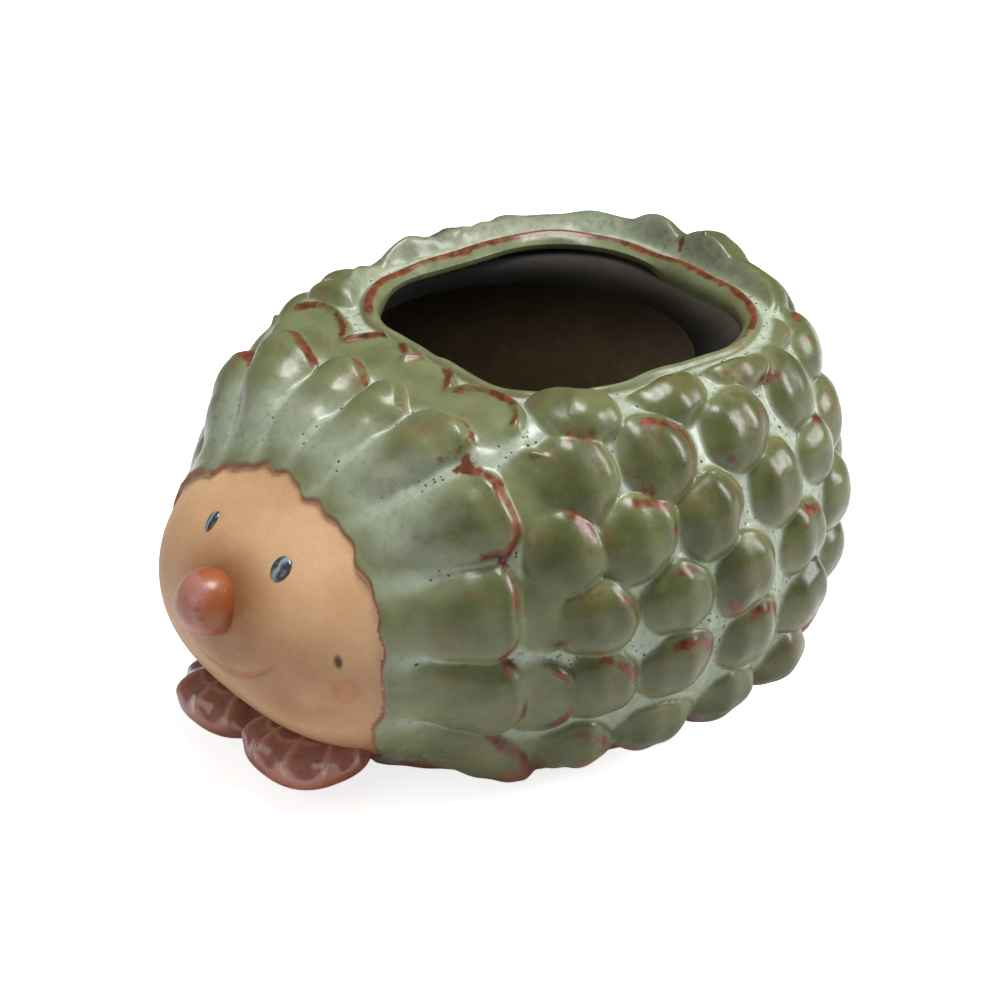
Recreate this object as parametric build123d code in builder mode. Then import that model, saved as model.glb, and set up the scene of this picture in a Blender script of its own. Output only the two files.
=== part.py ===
"""Animal shaped planter: a round hedgehog in glazed stoneware with an open back.

Frame: +Z is up and the ground is Z = 0. The face looks along -Y and +X is the animal's left side.
The origin is on the ground, midway between the tip of the nose and the tail end, in the plane of
symmetry. The body is a hollow egg turned about a level axis that runs along Y. Everything that is
luted on it (ruff petals, lobes, bobbles, face, nose, eyes, paws, rim) is a piece of its own, seated
on the same egg.
"""
from build123d import *
import math
import os

os.makedirs("parts", exist_ok=True)

# The egg-shaped body
body_radius = 72.0
body_rear_length = 82.0
body_front_length = 97.0
axis_height = 51.0
wall = 7.0
floor_thickness = 8.0
seam_gap = 0.1

# Rim and mouth, with heights above the egg's axis
rim_seat_rise = 42.0
rim_ledge_rise = 47.5
rim_ridge_rise = 49.5
mouth_half_width = 42.0
mouth_front_share = 0.392
mouth_length = 79.0
mouth_corner_radius = 27.0
ridge_width = 4.5
rim_front_margin = 5.0
lip_round = 1.8

# Roof of the head, a gentle slope from the mouth down to the brow, and the steep brow above the nose
roof_rear_rise = 48.0
roof_front_rise = 33.0
brow_rise = 19.0
brow_setback = 12.5
brow_lean = 38.0

# Face plate
face_top_setback = 18.0
face_bottom_setback = 20.0
muzzle_half_width = 39.0
muzzle_radius = 28.5
muzzle_drop = 9.0
muzzle_reach = 4.5
nose_radius = 8.5
nose_reach = 14.0
nose_rise = 2.0
eye_radius = 3.3
eye_spacing = 30.0
eye_drop = 5.0
eye_proud = 1.0

# Paws
paw_spacing = 32.0
paw_reach = 4.5
paw_lift = 4.5
paw_radius = 15.5
paw_height = 14.5
paw_sole_width = 2.0
toe_count = 4
toe_radius = 5.4
toe_fan = 150.0

# Ruff around the face: long petals, with a short lobe behind the tip of each
petal_count = 12
petal_step = 23.5
petal_tip_radius = 13.0
petal_tip_height = 6.5
petal_root_radius = 9.0
petal_root_height = 1.8
petal_tip_setback = 36.0
petal_root_setback = 19.0
lobe_radius = 10.5
lobe_height = 4.5
lobe_setback = 51.0

# Bobbles on the back and flanks. Each row has a height, as a share of the ridge's height, and the
# places of its bobbles as shares of the turn from the tail to the ruff, about an upright line
bobble_radius = 13.5
bobble_height = 5.6
groove_width = 0.6
gutter_width = 2.5
bobble_row_height_shares = (1.0, 0.87, 0.715, 0.54, 0.345, 0.135)
bobble_turn_shares = (
    (0.0, 0.153, 0.306, 0.468, 0.657, 0.847),
    (0.082, 0.244, 0.41, 0.592, 0.766, 0.914),
    (0.0, 0.14, 0.28, 0.42, 0.56, 0.712, 0.85, 0.96),
    (0.071, 0.214, 0.357, 0.51, 0.663, 0.794, 0.929),
    (0.0, 0.159, 0.319, 0.479, 0.631, 0.784, 0.915),
    (0.082, 0.252, 0.426, 0.6, 0.764, 0.911),
)

# Drain hole in the floor
drain_radius = 6.0

# Worked out from the sizes above
widest_place = (body_front_length + nose_reach - body_rear_length - bobble_height) / 2
overrun = body_radius
egg_front = widest_place - body_front_length
nose_tip_place = egg_front - nose_reach
rim_seat_height = axis_height + rim_seat_rise
rim_ledge_height = axis_height + rim_ledge_rise
rim_ridge_height = axis_height + rim_ridge_rise
roof_rear_height = axis_height + roof_rear_rise
roof_front_height = axis_height + roof_front_rise
mouth_centre = widest_place + mouth_length * (0.5 - mouth_front_share)
mouth_front = mouth_centre - mouth_length / 2
rim_front = mouth_front - rim_front_margin
face_top_place = egg_front + face_top_setback
face_bottom_place = egg_front + face_bottom_setback
lobe_place = egg_front + lobe_setback
body_axis = Axis((0, widest_place, axis_height), (0, 1, 0))
quarter_turn = 90
half_turn = 2 * quarter_turn


def egg_radius(y):
    """Distance of the egg's skin from its long axis at a place along Y."""
    length = body_rear_length if y > widest_place else body_front_length
    return body_radius * math.sqrt(max(0.0, 1 - ((y - widest_place) / length) ** 2))


def skin_plane(x, y, z):
    """Plane on the egg's skin: origin at the point, Z outwards, X level along the skin."""
    length = body_rear_length if y > widest_place else body_front_length
    outwards = Vector(x / body_radius**2, (y - widest_place) / length**2, (z - axis_height) / body_radius**2)
    outwards = outwards.normalized()
    return Plane(origin=(x, y, z), x_dir=Vector(0, 0, 1).cross(outwards), z_dir=outwards)


def skin_at_turn(turn_share, z):
    """Skin plane at a height, a share of the turn from the tail to the lobes about the upright line."""
    flat = 1 - ((z - axis_height) / body_radius) ** 2
    lobe_run = lobe_place - widest_place
    lobe_side = body_radius * math.sqrt(max(0.0, flat - (lobe_run / body_front_length) ** 2))
    turn = turn_share * math.atan2(lobe_side, lobe_run)
    length = body_rear_length if math.cos(turn) > 0 else body_front_length
    reach = math.sqrt(flat / ((math.sin(turn) / body_radius) ** 2 + (math.cos(turn) / length) ** 2))
    return skin_plane(reach * math.sin(turn), widest_place + reach * math.cos(turn), z)


def roof_height(y):
    """Height of the head's roof, a straight slope from the mouth to the brow."""
    share = (y - face_top_place) / (rim_front - face_top_place)
    return roof_front_height + (roof_rear_height - roof_front_height) * share


def ring_point(y, angle, depth):
    """Point under the skin at a place along Y and an angle about the long axis, from +X upwards."""
    radius = egg_radius(y) - depth
    z = axis_height + radius * math.sin(math.radians(angle))
    return Vector(radius * math.cos(math.radians(angle)), y, min(z, roof_height(y) - depth))


def egg(shrink):
    """Solid egg, smaller than the body by an even wall."""
    profile_plane = Plane(origin=(0, widest_place, axis_height), x_dir=(0, 1, 0), z_dir=(0, 0, 1))
    rear = body_rear_length - shrink
    front = body_front_length - shrink
    with BuildPart() as solid_egg:
        with BuildSketch(profile_plane):
            with BuildLine():
                EllipticalCenterArc((0, 0), rear, body_radius - shrink, 0, arc_size=quarter_turn)
                EllipticalCenterArc((0, 0), front, body_radius - shrink, quarter_turn, arc_size=quarter_turn)
                Line((-front, 0), (rear, 0))
            make_face()
        revolve(axis=body_axis)
    return solid_egg.part


# Cutting planes shared by several pieces
roof_slope = Vector(0, rim_front - face_top_place, roof_rear_height - roof_front_height)
roof_normal = Vector(1, 0, 0).cross(roof_slope)
roof_plane = Plane(origin=(0, rim_front, roof_rear_height), x_dir=(1, 0, 0), z_dir=roof_normal)
face_slope = Vector(0, face_top_place - face_bottom_place, roof_front_height)
face_normal = Vector(1, 0, 0).cross(face_slope)
face_plane = Plane(origin=(0, face_top_place, roof_front_height), x_dir=(1, 0, 0), z_dir=face_normal)

brow_normal = Vector(0, -math.cos(math.radians(brow_lean)), math.sin(math.radians(brow_lean)))
brow_middle = (0, egg_front + brow_setback, axis_height + brow_rise)
brow_plane = Plane(origin=brow_middle, x_dir=(1, 0, 0), z_dir=brow_normal)

# Hollow egg, cut level on the ground, sloped over the head and steep at the brow
egg_outside = egg(0)
with BuildPart() as shaped_egg:
    add(egg_outside)
    split(bisect_by=Plane.XY, keep=Keep.TOP)
    split(bisect_by=roof_plane, keep=Keep.BOTTOM)
    split(bisect_by=brow_plane, keep=Keep.BOTTOM)

with BuildPart() as cavity:
    add(egg(wall))
    split(bisect_by=Plane.XY.offset(floor_thickness), keep=Keep.TOP)
    split(bisect_by=roof_plane.offset(-wall), keep=Keep.BOTTOM)
    split(bisect_by=brow_plane.offset(-wall), keep=Keep.BOTTOM)

with BuildPart() as hollow_egg:
    add(shaped_egg.part)
    add(cavity.part, mode=Mode.SUBTRACT)

# Body shell, open at the back, with its drain hole
with BuildPart() as body_shell:
    add(hollow_egg.part)
    split(bisect_by=face_plane, keep=Keep.BOTTOM)
    with BuildSketch(Plane.XY.offset(rim_seat_height)):
        with Locations((0, rim_front + overrun)):
            Rectangle(2 * (body_radius + wall), 2 * overrun)
    extrude(amount=overrun, mode=Mode.SUBTRACT)
    with Locations((0, widest_place, floor_thickness)):
        Hole(drain_radius)

# Rim collar: a ledge that follows the egg, with a raised ridge round the mouth
mouth_width = 2 * mouth_half_width
with BuildPart() as rim_collar:
    with BuildSketch(Plane.XY.offset(rim_seat_height)):
        with Locations((0, rim_front + overrun)):
            Rectangle(2 * (body_radius + wall), 2 * overrun)
    extrude(amount=rim_ledge_height - rim_seat_height)
    add(egg_outside, mode=Mode.INTERSECT)
    with BuildSketch(Plane.XY.offset(rim_seat_height)):
        with Locations((0, mouth_centre)):
            RectangleRounded(
                mouth_width + 2 * ridge_width, mouth_length + 2 * ridge_width, mouth_corner_radius + ridge_width
            )
    extrude(amount=rim_ridge_height - rim_seat_height)
    with BuildSketch(Plane.XY.offset(rim_seat_height)):
        with Locations((0, mouth_centre)):
            RectangleRounded(mouth_width, mouth_length, mouth_corner_radius)
    extrude(amount=overrun, mode=Mode.SUBTRACT)
    ridge_edges = edges().group_by(Axis.Z)[-1]
    fillet(ridge_edges, lip_round)

# Muzzle: a broad rounded roll from cheek to cheek
muzzle_centre = (0, egg_front - muzzle_reach + muzzle_radius, axis_height - muzzle_drop)
with BuildPart() as muzzle:
    with BuildSketch(Plane(origin=muzzle_centre, x_dir=(1, 0, 0), z_dir=(0, 0, 1))):
        with BuildLine():
            EllipticalCenterArc((0, 0), muzzle_half_width, muzzle_radius, 0, arc_size=half_turn)
            Line((-muzzle_half_width, 0), (muzzle_half_width, 0))
        make_face()
    revolve(axis=Axis(muzzle_centre, (1, 0, 0)))

# Face: the bare front of the egg with the muzzle on it
with BuildPart() as face:
    add(hollow_egg.part)
    add(muzzle.part)
    add(cavity.part, mode=Mode.SUBTRACT)
    split(bisect_by=face_plane.offset(seam_gap), keep=Keep.TOP)
    split(bisect_by=Plane.XY, keep=Keep.TOP)

# Nose ball, pressed on the muzzle
with BuildPart() as nose:
    with Locations((0, nose_tip_place + nose_radius, axis_height + nose_rise)):
        Sphere(nose_radius)
    add(face.part, mode=Mode.SUBTRACT)

# Eyes, two small beads set in the brow
with BuildPart() as left_eye:
    with Locations(brow_plane):
        with Locations((eye_spacing / 2, -eye_drop, eye_proud - eye_radius)):
            Sphere(eye_radius)
    add(face.part, mode=Mode.SUBTRACT)
with BuildPart() as right_eye:
    add(left_eye.part)
    mirror(about=Plane.YZ, mode=Mode.REPLACE)

# Paws: a pad under the chin with a fan of upright toes, rounded above and below. The pad's front
# reaches out from the egg's skin where the top of the paw meets it
paw_top = paw_lift + paw_height
paw_root_share = math.hypot(paw_spacing / 2, axis_height - paw_top) / body_radius
paw_root = widest_place - body_front_length * math.sqrt(max(0.0, 1 - paw_root_share**2))
paw_place = paw_root - paw_reach + toe_radius
toe_orbit = paw_radius - toe_radius
toe_bottom = paw_lift + math.sqrt(toe_radius**2 - (paw_sole_width / 2) ** 2)
toe_top = paw_top - toe_radius
with BuildPart() as left_paw:
    with Locations((paw_spacing / 2, paw_place, paw_lift)):
        Cylinder(toe_orbit, paw_height, align=(Align.CENTER, Align.CENTER, Align.MIN))
    with Locations((paw_spacing / 2, paw_place, toe_bottom)):
        first_toe = -quarter_turn - toe_fan / 2
        with PolarLocations(toe_orbit, toe_count, start_angle=first_toe, angular_range=toe_fan, endpoint=True):
            Sphere(toe_radius)
            Cylinder(toe_radius, toe_top - toe_bottom, align=(Align.CENTER, Align.CENTER, Align.MIN))
            with Locations((0, 0, toe_top - toe_bottom)):
                Sphere(toe_radius)
    split(bisect_by=Plane.XY.offset(paw_lift), keep=Keep.TOP)
    add(shaped_egg.part, mode=Mode.SUBTRACT)
    add(face.part, mode=Mode.SUBTRACT)
with BuildPart() as right_paw:
    add(left_paw.part)
    mirror(about=Plane.YZ, mode=Mode.REPLACE)

# Petal and lobe angles on the left half, from the crown down to the ground
petal_angles = [quarter_turn - petal_step * (number + 0.5) for number in range(petal_count // 2)]


def petal(angle, swell):
    """Tapered petal along the head, from a small root ball at the face to a large tip ball."""
    root_radius = petal_root_radius + swell
    tip_radius = petal_tip_radius + swell
    root = ring_point(egg_front + petal_root_setback, angle, petal_root_radius - petal_root_height)
    tip = ring_point(egg_front + petal_tip_setback, angle, petal_tip_radius - petal_tip_height)
    along = tip - root
    sideways = along.cross(Vector(math.cos(math.radians(angle)), 0, math.sin(math.radians(angle))))
    lean = math.asin((tip_radius - root_radius) / along.length)
    touch = Vector(-math.sin(lean), math.cos(lean))
    with BuildPart() as tapered:
        with BuildSketch(Plane(origin=root, x_dir=along, z_dir=sideways)):
            with BuildLine():
                CenterArc((0, 0), root_radius, half_turn, math.degrees(lean) - quarter_turn)
                Line(touch * root_radius, Vector(along.length, 0) + touch * tip_radius)
                tip_turn = quarter_turn + math.degrees(lean)
                CenterArc((along.length, 0), tip_radius, tip_turn, -tip_turn)
                Line((along.length + tip_radius, 0), (-root_radius, 0))
            make_face()
        revolve(axis=Axis(root, along))
    return tapered.part


def crown_cut(angle):
    """Plane through the body's axis at an angle between two petals, facing the crown."""
    outwards = Vector(math.cos(math.radians(angle)), 0, math.sin(math.radians(angle)))
    return Plane(origin=body_axis.position, x_dir=(0, 1, 0), z_dir=outwards.cross(Vector(0, 1, 0)))


def write(piece, label):
    """Labels a finished piece and writes it."""
    piece.part.label = label
    export_step(piece.part, "parts/" + label + ".step")
    print(label, len(piece.part.solids()), "solids", round(piece.part.volume), "mm3")


def ball_centre(plane, radius, height):
    """Centre of the ball whose top stands at a height above a place on the skin."""
    return plane.origin + plane.z_dir * (height - radius)


def trimmed_ball(centre, radius, neighbours):
    """Ball cut flat on the ground and where it meets the balls next to it, with a groove between."""
    with BuildPart() as ball:
        with Locations(Plane(origin=centre, z_dir=centre - egg_middle)):
            Sphere(radius)
        for other, other_radius in neighbours:
            across = other - centre
            reach = (across.length**2 + radius**2 - other_radius**2) / (2 * across.length) - groove_width / 2
            split(bisect_by=Plane(origin=centre + across.normalized() * reach, z_dir=across), keep=Keep.BOTTOM)
        split(bisect_by=Plane.XY, keep=Keep.TOP)
    return ball.part


# The balls' poles point away from the middle of the egg
egg_middle = Vector(0, widest_place, axis_height)

# Centres of every ball: left half first, then its mirror image, so that each ball knows its neighbours
lobe_balls = []
for angle in petal_angles:
    centre = ring_point(lobe_place, angle, lobe_radius - lobe_height)
    lobe_balls.append((centre, lobe_radius))
bobble_rows = []
for row_number, height_share in enumerate(bobble_row_height_shares):
    planes = [skin_at_turn(share, rim_ridge_height * height_share) for share in bobble_turn_shares[row_number]]
    bobble_rows.append([(ball_centre(plane, bobble_radius, bobble_height), bobble_radius) for plane in planes])
left_balls = lobe_balls + [ball for row in bobble_rows for ball in row]
right_balls = [(Vector(-centre.X, centre.Y, centre.Z), radius) for centre, radius in left_balls]
bobble_foot = math.sqrt(bobble_height * (2 * bobble_radius - bobble_height))
crowding = 2 * bobble_foot


def neighbours_of(ball):
    """Balls near enough to meet this one above the skin."""
    centre = ball[0]
    near = [other for other in left_balls + right_balls if groove_width < (other[0] - centre).length < crowding]
    return near


def seated_bobble(ball):
    """Bobble on the body: its trimmed ball without what lies inside the egg."""
    with BuildPart() as bobble:
        add(trimmed_ball(*ball, neighbours_of(ball)))
        add(egg_outside, mode=Mode.SUBTRACT)
    return bobble.part


# Ruff petals, cut along the grooves between them and along the edge of the face, and their lobes
for number, angle in enumerate(petal_angles):
    with BuildPart() as left_petal:
        add(petal(angle, 0))
        split(bisect_by=crown_cut(angle - petal_step / 2).offset(groove_width / 2), keep=Keep.TOP)
        split(bisect_by=crown_cut(angle + petal_step / 2).offset(-groove_width / 2), keep=Keep.BOTTOM)
        split(bisect_by=face_plane, keep=Keep.BOTTOM)
        split(bisect_by=Plane.XY, keep=Keep.TOP)
        add(shaped_egg.part, mode=Mode.SUBTRACT)
        add(rim_collar.part, mode=Mode.SUBTRACT)
    with BuildPart() as left_lobe:
        add(trimmed_ball(*lobe_balls[number], neighbours_of(lobe_balls[number])))
        add(petal(angle, groove_width), mode=Mode.SUBTRACT)
        add(shaped_egg.part, mode=Mode.SUBTRACT)
        add(rim_collar.part, mode=Mode.SUBTRACT)
    with BuildPart() as right_petal:
        add(left_petal.part)
        mirror(about=Plane.YZ, mode=Mode.REPLACE)
    with BuildPart() as right_lobe:
        add(left_lobe.part)
        mirror(about=Plane.YZ, mode=Mode.REPLACE)
    write(left_petal, "ruff_petal_left_" + str(number + 1))
    write(right_petal, "ruff_petal_right_" + str(number + 1))
    write(left_lobe, "ruff_lobe_left_" + str(number + 1))
    write(right_lobe, "ruff_lobe_right_" + str(number + 1))

# Gutter behind the crests of the top row: the space above the ledge, out to its outer edge
gutter_grow = ridge_width + gutter_width
with BuildPart() as gutter_space:
    with BuildSketch(Plane.XY.offset(rim_ledge_height)):
        with Locations((0, mouth_centre)):
            RectangleRounded(
                mouth_width + 2 * gutter_grow, mouth_length + 2 * gutter_grow, mouth_corner_radius + gutter_grow
            )
    extrude(amount=overrun)

# Bobbles, one row at a time from the rim down, as a left and a right group and a tail bobble
for row_number, row in enumerate(bobble_rows):
    flank_balls = [seated_bobble(ball) for ball in row if ball[0].X > bobble_radius / 2]
    tail_balls = [seated_bobble(ball) for ball in row if ball[0].X <= bobble_radius / 2]
    with BuildPart() as left_row:
        add(flank_balls)
        if row_number == 0:
            add(gutter_space.part, mode=Mode.SUBTRACT)
            add(rim_collar.part, mode=Mode.SUBTRACT)
    with BuildPart() as right_row:
        add(left_row.part)
        mirror(about=Plane.YZ, mode=Mode.REPLACE)
    write(left_row, "bobble_row_" + str(row_number + 1) + "_left")
    write(right_row, "bobble_row_" + str(row_number + 1) + "_right")
    if tail_balls:
        with BuildPart() as tail_bobble:
            add(tail_balls)
            if row_number == 0:
                add(gutter_space.part, mode=Mode.SUBTRACT)
                add(rim_collar.part, mode=Mode.SUBTRACT)
        write(tail_bobble, "tail_bobble_" + str(row_number + 1))

write(body_shell, "body_shell")
write(rim_collar, "rim_collar")
write(face, "face")
write(nose, "nose")
write(left_eye, "left_eye")
write(right_eye, "right_eye")
write(left_paw, "left_paw")
write(right_paw, "right_paw")
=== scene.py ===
# %% [markdown]
# # A hedgehog planter in glazed stoneware
#
# The real planter is one fired body: a hollow egg of clay with bobbles, petals and lobes pressed on
# it, all under one coat of glaze. The CAD frame gives the place of every piece. Here each piece gets
# its rounded, glazed skin. The frame is loaded first, because every new piece stands for a CAD node.

# %% Load the frame
import math

import bpy
import numpy as np
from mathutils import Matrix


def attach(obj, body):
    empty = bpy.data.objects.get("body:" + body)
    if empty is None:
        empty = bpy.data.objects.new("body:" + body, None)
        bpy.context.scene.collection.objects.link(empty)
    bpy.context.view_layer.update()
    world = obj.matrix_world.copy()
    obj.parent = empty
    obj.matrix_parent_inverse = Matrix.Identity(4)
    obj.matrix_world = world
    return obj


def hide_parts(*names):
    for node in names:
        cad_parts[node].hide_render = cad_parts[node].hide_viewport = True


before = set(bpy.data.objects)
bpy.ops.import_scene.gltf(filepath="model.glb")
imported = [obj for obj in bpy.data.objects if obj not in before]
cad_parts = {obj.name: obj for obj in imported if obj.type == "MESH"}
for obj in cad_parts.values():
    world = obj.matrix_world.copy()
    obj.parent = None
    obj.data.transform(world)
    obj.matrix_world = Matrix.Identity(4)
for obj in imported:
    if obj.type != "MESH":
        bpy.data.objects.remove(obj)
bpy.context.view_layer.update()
MM = 0.001
print("CAD nodes:", len(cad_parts))

# %% [markdown]
# ## Camera
#
# The photograph looks down on the animal's left cheek. A long lens flattens it, as in product shots.
# The camera is placed by its two angles and its distance, then shifted to match the framing.

# %% Camera
VIEW_TURN = math.radians(52.0)
VIEW_LIFT = math.radians(27.3)
VIEW_DISTANCE = 0.8
LENS_SHIFT = (-0.0087, -0.017)
view_target = np.array([0.0, 0.0037, 0.055])
to_camera = np.array([
    math.sin(VIEW_TURN) * math.cos(VIEW_LIFT),
    -math.cos(VIEW_TURN) * math.cos(VIEW_LIFT),
    math.sin(VIEW_LIFT),
])
camera_data = bpy.data.cameras.new("camera")
camera_data.sensor_width = 36.0
camera_data.lens = 111.17
camera_data.shift_x, camera_data.shift_y = LENS_SHIFT
camera = bpy.data.objects.new("camera", camera_data)
camera.location = view_target + to_camera * VIEW_DISTANCE
camera.rotation_euler = (math.pi / 2 - VIEW_LIFT, 0.0, VIEW_TURN)
bpy.context.scene.collection.objects.link(camera)
bpy.context.scene.camera = camera
bpy.context.scene.view_settings.view_transform = "Standard"
print("camera at", [round(float(value), 4) for value in camera.location])

# %% [markdown]
# ## Sizes of the clay body, in millimetres
#
# The body is an egg that lies along Y, blunt at the tail and longer at the face. It could be shaped by
# hand from a sphere. Here it is a formula, so that every other shape can be measured from it.
# Working in millimetres keeps the numbers readable; they become metres when a mesh is made.

# %% Sizes of the egg, and of the grid that every glazed piece is cut from
EGG_RADIUS = 72.3
REAR_LENGTH = 78.0
FRONT_LENGTH = 96.5
AXIS_HEIGHT = 51.0
WIDEST = 11.7
# Powers of the outline: 2 is an ellipse, more is fuller and less is more pointed.
REAR_POWER = 2.05
FRONT_POWER = 1.96
# The rear half grows longer by this share, at this distance above and below the axis.
REAR_SWELL, REAR_SWELL_REACH = 0.09, 50.0
TURNS = 1000
SKIN_ROWS = 330
seed = np.random.default_rng(7)
print("egg:", 2 * EGG_RADIUS, "mm wide and", REAR_LENGTH + FRONT_LENGTH, "mm long")


# %% Small helpers
def smooth_step(low, high, value):
    """0 below low, 1 above high, and a smooth S between them."""
    share = np.clip((value - low) / (high - low), 0.0, 1.0)
    return share * share * (3 - 2 * share)


def hump(value, middle, width):
    """1 at the middle and less on both sides: e to the power -((value - middle) / width)^2."""
    return np.exp(-(((value - middle) / width) ** 2))


def soft_max(a, b, round_size):
    """Larger of two values, with the corner where they cross rounded over about round_size."""
    gap = np.maximum(round_size - np.abs(a - b), 0.0) / round_size
    return np.maximum(a, b) + gap * gap * round_size / 4


def soft_min(a, b, round_size):
    """Smaller of two values, with the corner where they cross rounded."""
    return -soft_max(-a, -b, round_size)


def waves(*terms):
    """Sum of slow sine waves: each term is (size, turns, phase, angle)."""
    return sum(size * np.sin(turns * angle + phase) for size, turns, phase, angle in terms)


def blur(values, passes):
    """Neighbour average on the turned grid, round the turn and along the rows."""
    for _ in range(passes):
        values = (np.roll(values, 1, 1) + np.roll(values, -1, 1) + 2 * values) / 4
        padded = np.concatenate([values[:1], values, values[-1:]])
        values = (padded[:-2] + padded[2:] + 2 * values) / 4
    return values


# %% [markdown]
# ## The bare body
#
# Every row of the skin is found the same way: a line is sent out from a point inside the body, and
# the place where it leaves the clay is found by halving. The clay is described by one function that
# is below zero inside: an egg, cut by the ledge round the mouth, the slope of the head and the
# ground, with the muzzle swelling out of its front. Rounded joins stand for wiped clay.

# %% The clay as one function
LEDGE_HEIGHT = 98.1
ROOF_START, ROOF_END, ROOF_END_HEIGHT, ROOF_EASE = -24.3, -66.0, 83.0, 6.0
BROW_PLACE, BROW_HEIGHT, BROW_LEAN, BROW_BEND = -72.2, 70.0, math.radians(38.0), 0.004
MUZZLE_PLACE, MUZZLE_HEIGHT = -62.0, 43.0
MUZZLE_WIDE, MUZZLE_DEEP, MUZZLE_TALL, MUZZLE_POWER = 44.0, 26.0, 30.0, 3.6
# Sizes of the rounded joins.
BROW_ROUND, MUZZLE_ROUND, ROOF_ROUND, GROUND_ROUND = 8.0, 7.0, 3.0, 5.0


def roof(y):
    """Height of the top: level round the mouth, then a gentle slope down over the head."""
    slope = (LEDGE_HEIGHT - ROOF_END_HEIGHT) / (ROOF_START - ROOF_END)
    drop = np.maximum(ROOF_START - y, 0.0)
    return LEDGE_HEIGHT - slope * (np.sqrt(drop**2 + ROOF_EASE**2) - ROOF_EASE)


def rear_length(z):
    """Length of the rear half, a little longer above and below than at the middle height."""
    return REAR_LENGTH * (1 + REAR_SWELL * np.clip((z - AXIS_HEIGHT) / REAR_SWELL_REACH, -1, 1) ** 2)


def brow_level(x, y, z):
    """Below zero behind the sloping brow, which is a little rounded from side to side."""
    above, behind = z - BROW_HEIGHT, y - BROW_PLACE
    return above * math.sin(BROW_LEAN) - behind * math.cos(BROW_LEAN) + BROW_BEND * x**2


def muzzle_level(x, y, z):
    """Below zero in the muzzle, a ball with flatter cheeks: sqrt(|x/a|^p + (y/b)^2 + (z/c)^2) - 1."""
    deep, tall = (y - MUZZLE_PLACE) / MUZZLE_DEEP, (z - MUZZLE_HEIGHT) / MUZZLE_TALL
    return (np.sqrt(np.abs(x / MUZZLE_WIDE) ** MUZZLE_POWER + deep**2 + tall**2) - 1) * MUZZLE_DEEP


def body_level(points):
    """Below zero inside the clay: egg (rho/a)^e + (|y|/l)^e - 1, cut by the brow, roof and ground."""
    x, y, z = points[..., 0], points[..., 1], points[..., 2]
    rear = y > WIDEST
    power = np.where(rear, REAR_POWER, FRONT_POWER)
    length = np.where(rear, rear_length(z), FRONT_LENGTH)
    across = np.hypot(x, z - AXIS_HEIGHT) / EGG_RADIUS
    along = np.abs(y - WIDEST) / length
    level = ((across**power + along**power) ** (1 / power) - 1) * EGG_RADIUS
    level = soft_max(level, brow_level(x, y, z), BROW_ROUND)
    level = soft_min(level, muzzle_level(x, y, z), MUZZLE_ROUND)
    level = soft_max(level, z - roof(y), ROOF_ROUND)
    return soft_max(level, -z, GROUND_ROUND)


# %% Where a line leaves the clay
RAY_START = np.array([0.0, 8.0, 44.0])
HALVINGS = 26


def ways_out(lift, angle):
    """Unit directions from their lift above level and their turn about the upright axis."""
    return np.stack([np.cos(lift) * np.sin(angle), np.cos(lift) * np.cos(angle), np.sin(lift) + 0 * angle], -1)


def cast(start, directions, level, reach=150.0):
    """Points where lines from an inner point leave the clay, found by halving the distance."""
    near = np.zeros(directions.shape[:-1])
    far = np.full(directions.shape[:-1], reach)
    for _ in range(HALVINGS):
        middle = (near + far) / 2
        inside = level(start + directions * middle[..., None]) < 0
        near = np.where(inside, middle, near)
        far = np.where(inside, far, middle)
    return start + directions * near[..., None]


# %% The mouth's outline
MOUTH_CENTRE = 20.2
MOUTH_HALF_WIDTH, MOUTH_HALF_LENGTH = 42.0, 39.5
MOUTH_CORNER = 27.0
turn = np.linspace(0, 2 * math.pi, TURNS, endpoint=False)
turn_degrees = np.degrees(turn)


def mouth_distance(x, y):
    """Distance outwards from the mouth's edge: a rectangle with rounded corners."""
    side = np.abs(x) - (MOUTH_HALF_WIDTH - MOUTH_CORNER)
    end = np.abs(y - MOUTH_CENTRE) - (MOUTH_HALF_LENGTH - MOUTH_CORNER)
    outside = np.hypot(np.maximum(side, 0), np.maximum(end, 0))
    return outside + np.minimum(np.maximum(side, end), 0) - MOUTH_CORNER


def ring_round_mouth(offset):
    """Plan points at one distance outwards from the mouth, one for each turn about the inner point."""
    near = np.full(TURNS, 5.0)
    far = np.full(TURNS, 120.0)
    for _ in range(HALVINGS):
        middle = (near + far) / 2
        level = mouth_distance(middle * np.sin(turn), RAY_START[1] + middle * np.cos(turn))
        near = np.where(level < offset, middle, near)
        far = np.where(level < offset, far, middle)
    return np.stack([near * np.sin(turn), RAY_START[1] + near * np.cos(turn)], 1)


print("mouth:", 2 * MOUTH_HALF_WIDTH, "by", 2 * MOUTH_HALF_LENGTH, "mm")

# %% Skin rows, from the ground to the gutter beside the rim
GUTTER_END = 5.6
FOOT_SIDE, FOOT_REAR, FOOT_FRONT, FOOT_SHARE = 51.0, 58.0, 68.0, 0.86
gutter_ring = ring_round_mouth(GUTTER_END)
gutter_reach = np.hypot(gutter_ring[:, 0], gutter_ring[:, 1] - RAY_START[1])
top_lift = np.arctan2(roof(gutter_ring[:, 1]) - RAY_START[2], gutter_reach)
foot_end = np.where(np.cos(turn) > 0, FOOT_REAR, FOOT_FRONT)
ground_reach = FOOT_SHARE * np.hypot(FOOT_SIDE * np.sin(turn), foot_end * np.cos(turn))
bottom_lift = np.arctan2(-RAY_START[2], ground_reach)
share = np.linspace(0, 1, SKIN_ROWS)[:, None]
lift = bottom_lift + (top_lift - bottom_lift) * share
bare = cast(RAY_START, ways_out(lift, turn), body_level)
bare_x, bare_y, bare_z = bare[..., 0], bare[..., 1], bare[..., 2]


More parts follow.
